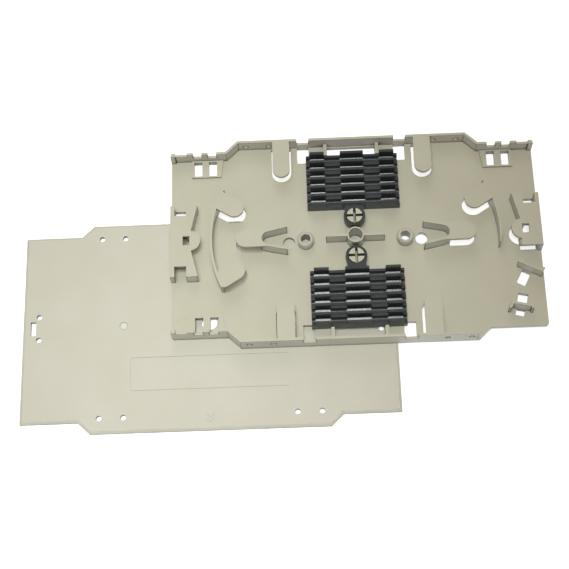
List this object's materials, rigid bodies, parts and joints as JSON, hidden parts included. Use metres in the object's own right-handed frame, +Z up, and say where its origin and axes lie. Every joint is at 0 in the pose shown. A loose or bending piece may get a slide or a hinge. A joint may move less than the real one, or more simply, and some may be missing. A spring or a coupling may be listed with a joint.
{
  "type": "fibre splice tray",
  "caption": "Flat splice tray with side walls, bend-guide arcs, fibre fingers and push-on ribbed splice holders, its plain lid lying loose under it.",
  "frame": {"origin": "axis of the tray's centre boss at the tray's underside", "axes": "+X along the length of the tray and of the lid, +Y across them towards the rear holder, +Z up out of the tray"},
  "size_m": [0.2282, 0.1314, 0.011],
  "materials": {
    "tray_plastic": "satin moulded",
    "cover_plastic": "satin moulded",
    "holder_plastic": "glossy moulded"
  },
  "bodies": {
    "root": {"tray": "tray_plastic", "cover": "cover_plastic", "rear_holder": "holder_plastic", "front_holder": "holder_plastic"}
  },
  "joints": []
}
